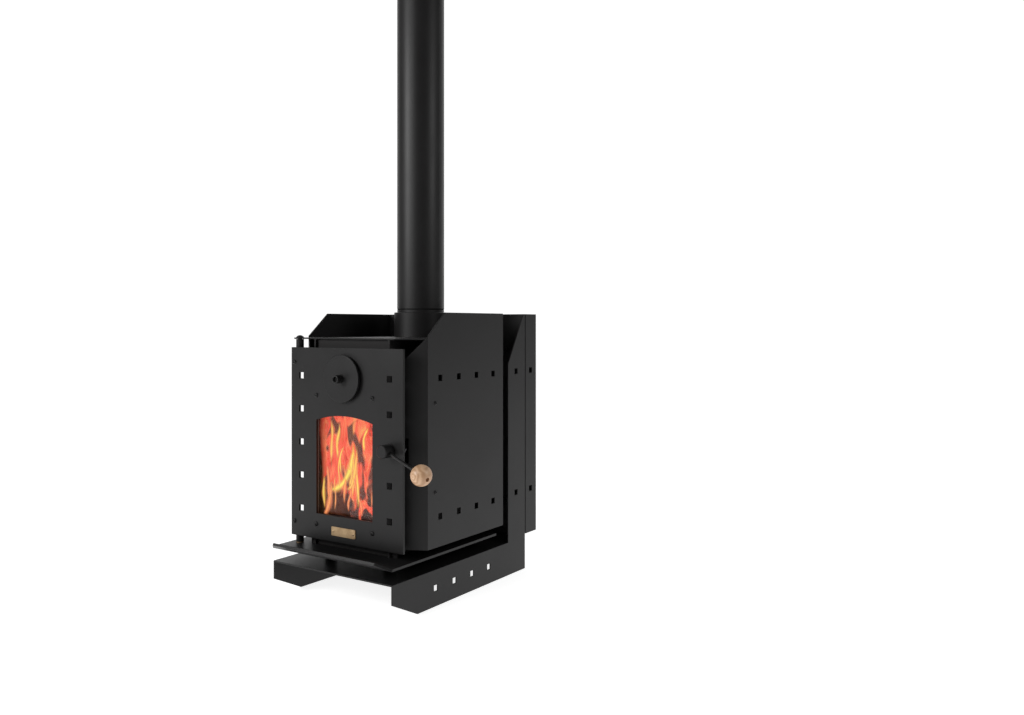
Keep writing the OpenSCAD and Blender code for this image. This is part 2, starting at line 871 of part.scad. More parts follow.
module air_stud_nut() place() color(STEEL)
    translate([0, door_t, disc_z]) rotate([-90, 0, 0]) hex_nut(stud_d + 0.02, 8);

module handle_bush() place() color(STEEL)
    translate([hub_x, 0, middle_z]) rotate([-90, 0, 0])
        tube(bush_d, shaft_d + 2 * run_gap, bush_back);

// ---- Air control ----

module air_washer() place() color(BRASS)
    translate([0, disc_back - recess_t + 0.1, disc_z]) rotate([-90, 0, 0])
        tube(2 * recess_r - 1, stud_d + 2 * run_gap, 1);

module air_disc() place() color(BLACK)
    difference() {
        translate([0, disc_back, disc_z]) rotate([90, 0, 0]) rotate_extrude($fn = 96) polygon([
            [stud_d / 2 + run_gap, 0],
            [disc_d / 2, 0],
            [disc_d / 2, disc_t - edge_break],
            [disc_d / 2 - edge_break, disc_t],
            [stud_d / 2 + run_gap, disc_t]
        ]);
        rod_along_y(0, disc_z, 2 * recess_r, disc_back - recess_t, disc_back + 1);
    }

module air_knob() place() color(BLACK)
    translate([0, disc_front, disc_z]) rotate([90, 0, 0]) rotate_extrude() polygon([
        [stud_d / 2 + run_gap, 0],
        [disc_knob_d / 2, 0],
        [disc_knob_d / 2, disc_knob_l - 0.8],
        [disc_knob_d / 2 - 0.8, disc_knob_l],
        [stud_d / 2 + 1, disc_knob_l],
        [stud_d / 2 + run_gap, disc_knob_l - 1]
    ]);

// ---- Handle ----

// Turns children drawn along +Z to run along the lever rod, starting at the hub's axis
module along_rod() {
    translate([hub_x, rod_y, middle_z])
        rotate([0, acos(rod_run[2] / rod_len), atan2(rod_run[1], rod_run[0])]) children();
}

module handle_hub() place() color(BLACK)
    difference() {
        translate([hub_x, hub_back, middle_z]) rotate([90, 0, 0]) rotate_extrude() polygon([
            [0, 0],
            [hub_d / 2, 0],
            [hub_d / 2, hub_l - 1.5],
            [hub_d / 2 - 1.5, hub_l],
            [0, hub_l]
        ]);
        rod_along_y(hub_x, middle_z, shaft_d + 0.04, hub_back - shaft_in, hub_back + 1);
        along_rod() translate([0, 0, socket_start]) cylinder(d = rod_d + 0.04, h = hub_d);
    }

module handle_shaft() place() color(STEEL)
    rod_along_y(hub_x, middle_z, shaft_d, hub_back - shaft_in, shaft_back);

module handle_rod() place() color(BLACK)
    along_rod() translate([0, 0, socket_start])
        cylinder(d = rod_d, h = rod_len + ball_bore_z - socket_start);

// Turned wooden ball, drilled through along the rod and opened out on its far side
module handle_ball() place() color(WOOD)
    along_rod() translate([0, 0, rod_len]) difference() {
        sphere(d = ball_d, $fn = 96);
        translate([0, 0, -ball_d]) cylinder(d = rod_d + 0.04, h = 2 * ball_d);
        translate([0, 0, ball_bore_z]) cylinder(d = rod_d + 2, h = ball_d);
    }

// Tongue that turns behind the front frame's wing
module latch_tongue() place() color(STEEL)
    translate([hub_x, tongue_y + tongue_t, middle_z]) rotate([90, 0, 0]) rotate([0, 0, tongue_rest])
        difference() {
            union() {
                cylinder(d = bush_d - 1, h = tongue_t);
                translate([0, -tongue_w / 2, 0]) cube([tongue_l, tongue_w, tongue_t]);
            }
            translate([0, 0, -1]) cylinder(d = shaft_d + 0.04, h = tongue_t + 2);
        }

module latch_nut() place() color(STEEL)
    translate([hub_x, tongue_y + tongue_t, middle_z]) rotate([-90, 0, 0])
        hex_nut(shaft_d + 0.02, latch_nut_h);

stand_left();
stand_right();
stand_deck();
stand_back_panel();
rear_shield();
rear_shield_spacers();
rear_shield_screws();
base_bosses();
base_bolts();
bottom_plate();
firebox_left_wall();
firebox_right_wall();
firebox_back_wall();
front_frame();
top_plate();
flue_spigot();
flue_pipe();
brick_floor();
brick_left();
brick_right();
brick_back();
baffle_board();
fire_grate();
log_guard();
side_shield_left();
side_shield_right();
casing_back();
shield_brackets();
shield_screws();
hinge_pin_top();
hinge_pin_bottom();
hinge_washer();
door_plate();
hinge_barrels();
hinge_screws();
glass_pane();
glass_gasket();
glass_clips();
glass_screws();
glass_nuts();
rope_channel();
door_rope();
name_plate();
name_plate_rivets();
air_stud();
air_stud_nut();
handle_bush();
air_washer();
air_disc();
air_knob();
handle_hub();
handle_shaft();
handle_rod();
handle_ball();
latch_tongue();
latch_nut();
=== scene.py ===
"""Looks of the wood burning stove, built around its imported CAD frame. Metres, +Z up."""
import json
import math
import random

import bpy
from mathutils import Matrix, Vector
from mathutils import noise as field


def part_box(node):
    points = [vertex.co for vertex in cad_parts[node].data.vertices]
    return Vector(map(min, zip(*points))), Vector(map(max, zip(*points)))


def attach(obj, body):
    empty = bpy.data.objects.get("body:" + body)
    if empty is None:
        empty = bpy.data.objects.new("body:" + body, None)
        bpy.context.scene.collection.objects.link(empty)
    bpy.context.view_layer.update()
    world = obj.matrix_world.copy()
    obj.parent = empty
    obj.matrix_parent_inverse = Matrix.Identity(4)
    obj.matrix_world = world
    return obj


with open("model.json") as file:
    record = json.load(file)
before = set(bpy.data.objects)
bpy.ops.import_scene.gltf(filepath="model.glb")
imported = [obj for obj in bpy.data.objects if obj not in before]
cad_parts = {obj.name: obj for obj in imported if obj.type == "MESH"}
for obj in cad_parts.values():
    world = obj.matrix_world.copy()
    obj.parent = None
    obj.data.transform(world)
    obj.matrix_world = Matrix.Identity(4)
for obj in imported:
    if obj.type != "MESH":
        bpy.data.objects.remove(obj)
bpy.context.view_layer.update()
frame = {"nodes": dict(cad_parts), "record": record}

MM = 0.001
NODES = frame["nodes"]

# The middle of the stove's front, on the floor: the window's middle plane and the door's front face
GLASS_LO, GLASS_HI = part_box("glass_pane")
FRONT = Vector(((GLASS_LO.x + GLASS_HI.x) / 2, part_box("door_plate")[0].y, 0.0))
# The camera's place, its turn to the right of the door, its lens and sensor in mm, and its upward shift
CAMERA = FRONT + Vector((1.244, -1.277, 0.557))
CAMERA_TURN = math.radians(33.4)
LENS, SENSOR, SHIFT = 30.87, 36.0, -0.0317
# Level direction from the stove to the camera
VIEW = Vector((math.sin(CAMERA_TURN), -math.cos(CAMERA_TURN), 0.0))


# ---------------------------------------------------------------- node helpers

def empty_material(name):
    """A material whose node tree holds only its output."""
    mat = bpy.data.materials.new(name)
    mat.use_nodes = True
    tree = mat.node_tree
    tree.nodes.clear()
    return mat, tree, tree.nodes.new("ShaderNodeOutputMaterial")


def new_material(name):
    """A material with its Principled shader."""
    mat, tree, out = empty_material(name)
    shader = tree.nodes.new("ShaderNodeBsdfPrincipled")
    tree.links.new(shader.outputs["BSDF"], out.inputs["Surface"])
    return mat, tree, shader


def add(tree, kind, **sockets):
    """Adds a node; each keyword sets an input socket, or links it when the value is a socket."""
    node = tree.nodes.new(kind)
    for name, value in sockets.items():
        plug(tree, node, name.replace("_", " "), value)
    return node


def plug(tree, node, socket, value):
    """Sets one input of a node, or links it to another node's output."""
    target = node.inputs[socket]
    if isinstance(value, bpy.types.NodeSocket):
        tree.links.new(value, target)
    else:
        target.default_value = value


def coords(tree):
    """Object coordinates: the CAD nodes sit at the origin, so these are the row frame's metres."""
    return tree.nodes.new("ShaderNodeTexCoord").outputs["Object"]


def stretched(tree, vector, scale):
    """The vector, scaled along each axis."""
    node = tree.nodes.new("ShaderNodeMapping")
    node.inputs["Scale"].default_value = scale
    tree.links.new(vector, node.inputs["Vector"])
    return node.outputs["Vector"]


def noise(tree, vector, scale, detail=3.0, rough=0.5, distortion=0.0):
    """Fractal noise, from 0 to 1."""
    node = tree.nodes.new("ShaderNodeTexNoise")
    tree.links.new(vector, node.inputs["Vector"])
    node.inputs["Scale"].default_value = scale
    node.inputs["Detail"].default_value = detail
    node.inputs["Roughness"].default_value = rough
    node.inputs["Distortion"].default_value = distortion
    return node.outputs["Fac"]


def ramp(tree, fac, stops):
    """Colour ramp through (position, grey or RGB) stops."""
    node = tree.nodes.new("ShaderNodeValToRGB")
    tree.links.new(fac, node.inputs["Fac"])
    elements = node.color_ramp.elements
    while len(elements) < len(stops):
        elements.new(0.5)
    for element, (position, colour) in zip(elements, stops):
        element.position = position
        grey = isinstance(colour, (int, float))
        element.color = (colour, colour, colour, 1) if grey else (*colour, 1)
    return node.outputs["Color"]


def mixed(tree, fac, a, b, mode="MIX"):
    """Mix of two colours."""
    node = tree.nodes.new("ShaderNodeMix")
    node.data_type = "RGBA"
    node.blend_type = mode
    for socket, value in ((node.inputs[0], fac), (node.inputs[6], a), (node.inputs[7], b)):
        if isinstance(value, bpy.types.NodeSocket):
            tree.links.new(value, socket)
        elif isinstance(value, (int, float)):
            socket.default_value = value
        else:
            socket.default_value = (*value, 1)
    return node.outputs[2]


def calc(tree, operation, *values):
    """Math node on its values."""
    node = tree.nodes.new("ShaderNodeMath")
    node.operation = operation
    for index, value in enumerate(values):
        plug(tree, node, index, value)
    return node.outputs[0]


def vector_calc(tree, operation, *values):
    """Vector math node on its vectors; a dot product is in its Value output."""
    node = tree.nodes.new("ShaderNodeVectorMath")
    node.operation = operation
    for index, value in enumerate(values):
        plug(tree, node, index, value)
    return node.outputs["Value" if operation == "DOT_PRODUCT" else "Vector"]


def axes(tree, vector):
    """The X, Y and Z outputs of a vector."""
    node = tree.nodes.new("ShaderNodeSeparateXYZ")
    tree.links.new(vector, node.inputs[0])
    return node.outputs


def blend(tree, fac, a, b, out):
    """Sends a mix of two shaders to the material's output."""
    mix = tree.nodes.new("ShaderNodeMixShader")
    for index, value in enumerate((fac, a.outputs[0], b.outputs[0])):
        tree.links.new(value, mix.inputs[index])
    tree.links.new(mix.outputs[0], out.inputs["Surface"])


def bump(tree, shader, height, strength, distance, normal=None):
    """Bump on a shader, in metres of distance."""
    node = tree.nodes.new("ShaderNodeBump")
    node.inputs["Strength"].default_value = strength
    node.inputs["Distance"].default_value = distance
    tree.links.new(height, node.inputs["Height"])
    if normal is not None:
        tree.links.new(normal, node.inputs["Normal"])
    tree.links.new(node.outputs["Normal"], shader.inputs["Normal"])


# ---------------------------------------------------------------- materials

def heat_paint(name, base, lift, rough=0.42, gloss=0.28, edge=0.0008):
    """Matt stove paint: fine orange-peel grain, faint cloudy sheen, dust, and softly rounded edges."""
    mat, tree, shader = new_material(name)
    at = coords(tree)
    cloud = noise(tree, at, 9.0, 4.0, 0.6)
    grain = noise(tree, at, 900.0, 2.0, 0.6)
    speck = noise(tree, at, 260.0, 3.0, 0.7)
    dark = [c * (1 - lift) for c in base]
    light = [c * (1 + lift) for c in base]
    colour = mixed(tree, ramp(tree, cloud, [(0.3, 0.0), (0.7, 1.0)]), dark, light)
    dust = ramp(tree, speck, [(0.6, 0.0), (0.9, 1.0)])
    colour = mixed(tree, calc(tree, "MULTIPLY", dust, 0.2), colour, [min(1, c * 2.0) for c in base])
    tree.links.new(colour, shader.inputs["Base Color"])
    shade = calc(tree, "MULTIPLY_ADD", cloud, 0.16, rough - 0.08)
    tree.links.new(shade, shader.inputs["Roughness"])
    shader.inputs["Specular IOR Level"].default_value = gloss
    rounded = tree.nodes.new("ShaderNodeBevel")
    rounded.samples = 4
    rounded.inputs["Radius"].default_value = edge
    bump(tree, shader, grain, 0.12, 0.0002, rounded.outputs["Normal"])
    return mat


def bare_steel(name, base=(0.42, 0.42, 0.43), rough=0.35):
    """Zinc-plated or bright steel with fine turning marks."""
    mat, tree, shader = new_material(name)
    at = coords(tree)
    lines = noise(tree, stretched(tree, at, (300, 2400, 300)), 1.0, 2.0, 0.6)
    stain = noise(tree, at, 60.0, 4.0, 0.6)
    colour = mixed(tree, ramp(tree, stain, [(0.35, 0.0), (0.7, 1.0)]), [c * 0.7 for c in base], base)
    tree.links.new(colour, shader.inputs["Base Color"])
    shader.inputs["Metallic"].default_value = 1.0
    shade = calc(tree, "MULTIPLY_ADD", stain, 0.25, rough - 0.1)
    tree.links.new(shade, shader.inputs["Roughness"])
    bump(tree, shader, lines, 0.15, 0.0002)
    return mat


def brushed_brass(name):
    """Satin brass, brushed along its length, slightly browned."""
    mat, tree, shader = new_material(name)
    at = coords(tree)
    brush = noise(tree, stretched(tree, at, (60, 900, 3200)), 1.0, 3.0, 0.65)
    tarnish = noise(tree, at, 45.0, 4.0, 0.6)
    browned, clean = (0.33, 0.22, 0.12), (0.55, 0.40, 0.24)
    colour = mixed(tree, ramp(tree, tarnish, [(0.35, 0.0), (0.7, 1.0)]), browned, clean)
    tree.links.new(colour, shader.inputs["Base Color"])
    shader.inputs["Metallic"].default_value = 1.0
    shade = calc(tree, "MULTIPLY_ADD", brush, 0.3, 0.3)
    tree.links.new(shade, shader.inputs["Roughness"])
    bump(tree, shader, brush, 0.2, 0.0002)
    return mat


def beech(name, centre, along):
    """Turned light wood: growth rings cut by the ball, fine rays and pores."""
    mat, tree, shader = new_material(name)
    at = tree.nodes.new("ShaderNodeMapping")
    at.vector_type = "TEXTURE"
    at.inputs["Location"].default_value = centre
    at.inputs["Rotation"].default_value = along.to_track_quat("Z", "Y").to_euler()
    tree.links.new(coords(tree), at.inputs["Vector"])
    place = at.outputs["Vector"]
    rings = tree.nodes.new("ShaderNodeTexWave")
    rings.wave_type = "RINGS"
    rings.rings_direction = "X"
    tree.links.new(stretched(tree, place, (0.35, 1.0, 1.0)), rings.inputs["Vector"])
    rings.inputs["Scale"].default_value = 55.0
    rings.inputs["Distortion"].default_value = 5.0
    rings.inputs["Detail"].default_value = 3.0
    rings.inputs["Detail Scale"].default_value = 1.4
    pores = noise(tree, stretched(tree, place, (120, 1500, 1500)), 1.0, 3.0, 0.6)
    blush = noise(tree, place, 60.0, 2.0, 0.5)
    pale, deep = (0.62, 0.40, 0.245), (0.42, 0.235, 0.125)
    colour = mixed(tree, ramp(tree, rings.outputs["Fac"], [(0.1, 0.0), (0.9, 1.0)]), deep, pale)
    pits = ramp(tree, pores, [(0.55, 0.0), (0.7, 1.0)])
    colour = mixed(tree, calc(tree, "MULTIPLY", pits, 0.4), colour, deep)
    colour = mixed(tree, calc(tree, "MULTIPLY", blush, 0.35), colour, (0.68, 0.42, 0.25))
    tree.links.new(colour, shader.inputs["Base Color"])
    shader.inputs["Roughness"].default_value = 0.42
    shader.inputs["Coat Weight"].default_value = 0.15
    shader.inputs["Coat Roughness"].default_value = 0.3
    bump(tree, shader, pores, 0.12, 0.0002)
    return mat


# Share of the glass's own reflection that is kept, so that the fire stays clear behind it
GLASS_SHINE = 0.03


def stove_glass(name):
    """Thin ceramic glass: nearly clear, faintly warm, with soft reflections."""
    mat, tree, out = empty_material(name)
    clear = add(tree, "ShaderNodeBsdfTransparent", Color=(0.985, 0.975, 0.965, 1))
    smudge = noise(tree, coords(tree), 35.0, 5.0, 0.65)
    gloss = add(tree, "ShaderNodeBsdfGlossy", Roughness=calc(tree, "MULTIPLY_ADD", smudge, 0.25, 0.02))
    fresnel = add(tree, "ShaderNodeFresnel", IOR=1.5)
    blend(tree, calc(tree, "MULTIPLY", fresnel.outputs[0], GLASS_SHINE), clear, gloss, out)
    return mat


def fire_brick(name):
    """Vermiculite board: buff flakes, with patches of soot."""
    mat, tree, shader = new_material(name)
    at = coords(tree)
    flakes = tree.nodes.new("ShaderNodeTexVoronoi")
    tree.links.new(at, flakes.inputs["Vector"])
    flakes.inputs["Scale"].default_value = 320.0
    soot = noise(tree, at, 14.0, 5.0, 0.6)
    colour = mixed(tree, flakes.outputs["Distance"], (0.36, 0.26, 0.15), (0.62, 0.50, 0.33))
    colour = mixed(tree, ramp(tree, soot, [(0.35, 0.15), (0.7, 0.85)]), colour, (0.035, 0.03, 0.027))
    tree.links.new(colour, shader.inputs["Base Color"])
    shader.inputs["Roughness"].default_value = 0.95
    bump(tree, shader, flakes.outputs["Distance"], 0.5, 0.0015)
    return mat


def cast_iron(name):
    """Rough sand-cast iron."""
    mat, tree, shader = new_material(name)
    at = coords(tree)
    sand = noise(tree, at, 420.0, 4.0, 0.7)
    rust = noise(tree, at, 30.0, 5.0, 0.65)
    iron, brown = (0.045, 0.043, 0.042), (0.16, 0.07, 0.035)
    colour = mixed(tree, ramp(tree, rust, [(0.5, 0.0), (0.75, 0.6)]), iron, brown)
    tree.links.new(colour, shader.inputs["Base Color"])
    shader.inputs["Metallic"].default_value = 0.5
    shader.inputs["Roughness"].default_value = 0.75
    bump(tree, shader, sand, 0.5, 0.0008)
    return mat


def glass_rope(name):
    """Knitted glass-fibre rope, graphite grey with pale threads."""
    mat, tree, shader = new_material(name)
    at = coords(tree)
    threads = tree.nodes.new("ShaderNodeTexWave")
    tree.links.new(at, threads.inputs["Vector"])
    threads.inputs["Scale"].default_value = 420.0
    threads.inputs["Distortion"].default_value = 3.0
    threads.bands_direction = "DIAGONAL"
    fuzz = noise(tree, at, 700.0, 3.0, 0.7)
    weave = calc(tree, "MULTIPLY", threads.outputs["Fac"], fuzz)
    tree.links.new(mixed(tree, weave, (0.05, 0.05, 0.048), (0.34, 0.33, 0.30)), shader.inputs["Base Color"])
    shader.inputs["Roughness"].default_value = 0.95
    shader.inputs["Sheen Weight"].default_value = 0.3
    bump(tree, shader, weave, 0.6, 0.0006)
    return mat


# How strongly the floor glows at its brightest: painted light that washes out the stove's shadow on it
FLOOR_PAINTED_GLOW = 0.84


def paper_floor(name):
    """Plain pale paper with a painted glow that washes out the stove's shadow: brightest under and behind the
    stove, with a wide soft fade to the front.
    """
    mat, tree, shader = new_material(name)
    at = coords(tree)
    ahead = vector_calc(tree, "DOT_PRODUCT", at, VIEW)
    # Painted light: the floor's glow, strongest under and behind the stove where its shadow falls
    bright = ramp(tree, calc(tree, "MULTIPLY", ahead, 0.4), [(0.2, 1.0), (0.75, 0.12)])
    tone = noise(tree, at, 1.5, 2.0, 0.5)
    paper = mixed(tree, tone, (0.60, 0.60, 0.60), (0.64, 0.64, 0.64))
    tree.links.new(paper, shader.inputs["Base Color"])
    shader.inputs["Roughness"].default_value = 0.9
    shader.inputs["Specular IOR Level"].default_value = 0.0
    shader.inputs["Emission Color"].default_value = (1, 1, 1, 1)
    tree.links.new(calc(tree, "MULTIPLY", bright, FLOOR_PAINTED_GLOW), shader.inputs["Emission Strength"])
    return mat


# ---------------------------------------------------------------- the CAD nodes' finishes

# Steel nodes given a dark finish, against the bright steel of their record slot
DARK_NODES = ("air_stud",)


def paint_nodes():
    """Gives every CAD node the material of its record slot."""
    ball_lo, ball_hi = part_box("handle_ball")
    hub_lo, hub_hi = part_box("handle_hub")
    centre = (ball_lo + ball_hi) / 2
    rod = (centre - (hub_lo + hub_hi) / 2).normalized()
    finishes = {
        "black_paint": heat_paint("black_paint", (0.0085, 0.0081, 0.0083), 0.12),
        "firebox_black": heat_paint("firebox_black", (0.012, 0.011, 0.011), 0.25, 0.65, 0.25),
        "steel": bare_steel("steel"),
        "brass": brushed_brass("brass"),
        "wood": beech("wood", centre, rod),
        "glass": stove_glass("glass"),
        "fire_brick": fire_brick("fire_brick"),
        "rope": glass_rope("rope"),
        "grate_iron": cast_iron("grate_iron"),
        "dark_steel": heat_paint("dark_steel", (0.0050, 0.0048, 0.0048), 0.05, 0.6, 0.12),
    }
    for part in frame["record"]["subparts"]:
        finish = "dark_steel" if part["node"] in DARK_NODES else part["material_slot"]
        for slot in NODES[part["node"]].material_slots:
            slot.material = finishes[finish]


# ---------------------------------------------------------------- fire

# The room for the fire, in mm as stove() takes it: half the width between the bricks, the depth from the door
# to the back brick, the grate's top, and the height from there to the top of the bricks
ROOM_HALF = (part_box("brick_right")[0].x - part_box("brick_left")[1].x) / 2 / MM
ROOM_DEPTH = (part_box("brick_back")[0].y - FRONT.y) / MM
GRATE_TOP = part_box("fire_grate")[1].z / MM
ROOM_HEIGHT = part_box("brick_back")[1].z / MM - GRATE_TOP
# The fire's middle, half width, foot and height
FIRE_X, FIRE_HALF = -0.2 * ROOM_HALF, 0.75 * ROOM_HALF
FIRE_FOOT, FIRE_RISE = GRATE_TOP + 8, 0.85 * ROOM_HEIGHT
# The seed that the strands of flame are drawn from, their number, and their depth behind the door's face
FLAME_SEED = 4
STRANDS = 15
STRAND_Y = 20.6
# How fast the dark pockets thin out with height, and the level below which they show
SMOKE_LIFT, SMOKE_EDGE = 0.9, 0.66
# Two logs along the grate, one across them and two on top: start, end and radius, as shares of half the
# room's width, its depth and its height over the grate
LOGS = (
    ((-0.60, 0.30, 0.08), (-0.55, 0.80, 0.08), 0.25),
    ((0.50, 0.30, 0.08), (0.55, 0.80, 0.08), 0.25),
    ((-0.75, 0.65, 0.22), (0.75, 0.55, 0.24), 0.22),
    ((-0.40, 0.20, 0.20), (-0.30, 0.65, 0.24), 0.24),
    ((0.15, 0.35, 0.24), (0.60, 0.75, 0.32), 0.18),
)
# Steps along and around a log, up and across a sheet of flame, across a strand, and along the bed's sides
LOG_STEPS, LOG_SIDES = 14, 28
SHEET_STEPS, SHEET_COLUMNS = 24, 32
STRAND_COLUMNS = 7
BED_STEPS = 30


def stove(x, y, z):
    """A point given in mm from the window's middle plane, the door's face and the floor."""
    return FRONT + Vector((x, y, z)) * MM


def shown(name, mesh, material, body="root"):
    """Links a new piece with one material, and lets it ride a body."""
    piece = bpy.data.objects.new(name, mesh)
    bpy.context.scene.collection.objects.link(piece)
    mesh.materials.append(material)
    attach(piece, body)
    return piece


def grid_mesh(name, rows, closed=False):
    """Quads between rows of points; closed rows run round."""
    mesh = bpy.data.meshes.new(name)
    width = len(rows[0])
    across = width if closed else width - 1
    faces = []
    for r in range(len(rows) - 1):
        for c in range(across):
            n = (c + 1) % width
            faces.append((r * width + c, r * width + n, (r + 1) * width + n, (r + 1) * width + c))
    mesh.from_pydata([p for row in rows for p in row], [], faces)
    for face in mesh.polygons:
        face.use_smooth = True
    return mesh


def spline(points, t):
    """Smooth curve through the points, for t from 0 to 1."""
    place = t * (len(points) - 1)
    i = min(int(place), len(points) - 2)
    f = place - i
    a, b, c, d = (Vector(points[min(max(i + k, 0), len(points) - 1)]) for k in (-1, 0, 1, 2))
    squared = (2 * a - 5 * b + 4 * c - d) * f * f
    cubed = (3 * b - a - 3 * c + d) * f ** 3
    return 0.5 * (2 * b + (c - a) * f + squared + cubed)


def glowing(name, colour, alpha, strength=1.0):
    """Emission that fades to nothing, from a colour socket and a mask socket."""
    mat, tree, out = empty_material(name)
    glow = add(tree, "ShaderNodeEmission", Color=colour(tree), Strength=strength)
    clear = tree.nodes.new("ShaderNodeBsdfTransparent")
    blend(tree, alpha(tree), clear, glow, out)
    return mat


def fire_space(tree):
    """Object coordinates moved to the window's middle, and wavered by a slow noise."""
    reach = Vector((0.022, 0.0, 0.014))
    centred = vector_calc(tree, "SUBTRACT", coords(tree), FRONT)
    waver = tree.nodes.new("ShaderNodeTexNoise")
    tree.links.new(stretched(tree, centred, (26, 26, 11)), waver.inputs["Vector"])
    waver.inputs["Scale"].default_value = 1.0
    waver.inputs["Detail"].default_value = 2.5
    swung = vector_calc(tree, "MULTIPLY_ADD", waver.outputs["Color"], reach, centred)
    return vector_calc(tree, "SUBTRACT", swung, reach / 2)


def smoky(tree, space):
    """1 in the dark pockets between the flames: many low down, few at the top."""
    patches = noise(tree, stretched(tree, space, (30, 12, 15)), 1.0, 1.6, 0.5, 0.7)
    lifted = calc(tree, "ADD", patches, calc(tree, "MULTIPLY", axes(tree, space)["Z"], SMOKE_LIFT))
    return ramp(tree, lifted, [(SMOKE_EDGE, 1.0), (SMOKE_EDGE + 0.07, 0.0)])


def curtain_colour(tree):
    """Layers of red, orange and peach flame with smoky pockets."""
    space = fire_space(tree)
    licks = noise(tree, stretched(tree, space, (27, 20, 9)), 1.0, 2.6, 0.5, 1.1)
    veins = noise(tree, stretched(tree, space, (44, 30, 11)), 1.0, 1.5, 0.5, 1.4)
    body = ramp(tree, licks, [(0.33, (0.16, 0.045, 0.036)), (0.40, (0.90, 0.090, 0.055)),
                              (0.49, (1.0, 0.145, 0.085)), (0.58, (1.0, 0.24, 0.115)),
                              (0.66, (1.0, 0.42, 0.13))])
    ridge = calc(tree, "ABSOLUTE", calc(tree, "SUBTRACT", veins, 0.5))
    body = mixed(tree, ramp(tree, ridge, [(0.0, 0.3), (0.03, 0.0)]), body, (1.0, 0.55, 0.2))
    smoke = mixed(tree, licks, (0.085, 0.043, 0.036), (0.16, 0.07, 0.048))
    return mixed(tree, calc(tree, "MULTIPLY", smoky(tree, space), 0.93), body, smoke)


def curtain_alpha(tree):
    """Solid in the middle, torn at the tips and sides, and open low down, where the logs show through."""
    space = fire_space(tree)
    place = axes(tree, space)
    torn = noise(tree, stretched(tree, space, (38, 30, 9)), 1.0, 3.0, 0.6, 0.6)
    top = calc(tree, "ADD", place["Z"], calc(tree, "MULTIPLY", torn, -0.13))
    tips = ramp(tree, top, [(0.315, 1.0), (0.345, 0.0)])
    side = calc(tree, "ADD", calc(tree, "ABSOLUTE", place["X"]), calc(tree, "MULTIPLY", torn, -0.02))
    sides = ramp(tree, side, [(0.066, 1.0), (0.082, 0.0)])
    low = ramp(tree, place["Z"], [(0.205, 1.0), (0.235, 0.0)])
    open_low = calc(tree, "SUBTRACT", 1.0, calc(tree, "MULTIPLY", smoky(tree, space), low))
    return calc(tree, "MULTIPLY", calc(tree, "MULTIPLY", tips, sides), open_low)


def back_alpha(tree):
    """Sparser flames for the curtains deeper in the firebox."""
    space = fire_space(tree)
    torn = noise(tree, stretched(tree, space, (30, 30, 8)), 1.0, 3.0, 0.6, 0.8)
    top = calc(tree, "ADD", axes(tree, space)["Z"], calc(tree, "MULTIPLY", torn, -0.30))
    gaps = ramp(tree, torn, [(0.42, 0.0), (0.52, 0.9)])
    return calc(tree, "MULTIPLY", ramp(tree, top, [(0.12, 1.0), (0.19, 0.0)]), gaps)


def ribbon_map(tree, axis):
    """A ribbon's own map: heat along X, and closeness to its middle line along Y."""
    return axes(tree, tree.nodes.new("ShaderNodeTexCoord").outputs["UV"])[axis]


def tongue_colour(tree):
    """Yellow-white along the middle, orange towards the edges, by the ribbon's own heat."""
    return ramp(tree, ribbon_map(tree, "X"), [(0.0, (1.0, 0.20, 0.10)), (0.35, (1.0, 0.30, 0.13)),
                                              (0.65, (1.0, 0.50, 0.13)), (0.9, (1.0, 0.80, 0.15))])


def tongue_alpha(tree):
    """Soft edges, slightly frayed."""
    fray = noise(tree, stretched(tree, coords(tree), (300, 300, 90)), 1.0, 2.0, 0.5)
    mask = calc(tree, "ADD", ribbon_map(tree, "Y"), calc(tree, "MULTIPLY", fray, 0.25))
    return ramp(tree, mask, [(0.12, 0.0), (1.0, 1.0)])


def flame_curtain(name, x0, x1, z0, z1, y, wave, material):
    """Upright wavy sheet of flame."""
    rows = []
    for r in range(SHEET_STEPS + 1):
        z = z0 + (z1 - z0) * r / SHEET_STEPS
        row = []
        for c in range(SHEET_COLUMNS + 1):
            x = x0 + (x1 - x0) * c / SHEET_COLUMNS
            sway = wave * math.sin(x * 0.11 + z * 0.021 + y) * (0.6 + 0.4 * math.sin(z * 0.045))
            row.append(stove(x, y + sway, z))
        rows.append(row)
    return shown(name, grid_mesh(name, rows), material)


def broad_flame(x, z, reach, rise):
    """Line of a flame that leaves the log level and turns upright: a quarter of an ellipse."""
    turns = [math.radians(15 * k) for k in range(7)]
    return [(x + reach * math.sin(turn), z + rise * (1 - math.cos(turn))) for turn in turns]


def strand(x, z, rise, lean, swing, phase):
    """Line of a thin flame that leans over, and swings wider as it rises."""
    steps = [k / 6 for k in range(7)]
    return [(x + lean * t * t + swing * t * math.sin(phase + 5 * t), z + rise * t) for t in steps]


def flame_lines():
    """Heat, half width and line of every flame: three broad ones off the logs, and strands by chance."""
    chance = random.Random(FLAME_SEED)
    lines = [
        (1.0, 8, broad_flame(FIRE_X - 45, FIRE_FOOT + 70, 70, 100)),
        (0.8, 5, broad_flame(FIRE_X + 5, FIRE_FOOT + 75, 28, 90)),
        (0.5, 6, broad_flame(FIRE_X - 60, FIRE_FOOT + 20, 22, 70)),
    ]
    for k in range(STRANDS):
        x = FIRE_X + FIRE_HALF * (2 * (k + chance.random()) / STRANDS - 1)
        high = chance.random()
        z = FIRE_FOOT + FIRE_RISE * (0.08 + 0.62 * high)
        rise = chance.uniform(45, 95)
        lean = chance.uniform(-8, 14)
        swing = chance.uniform(2, 9)
        phase = chance.uniform(0, math.tau)
        heat = chance.uniform(0.3, 0.95)
        half = chance.uniform(1.8, 5)
        lines.append((heat, half, strand(x, z, rise, lean, swing, phase)))
    return lines


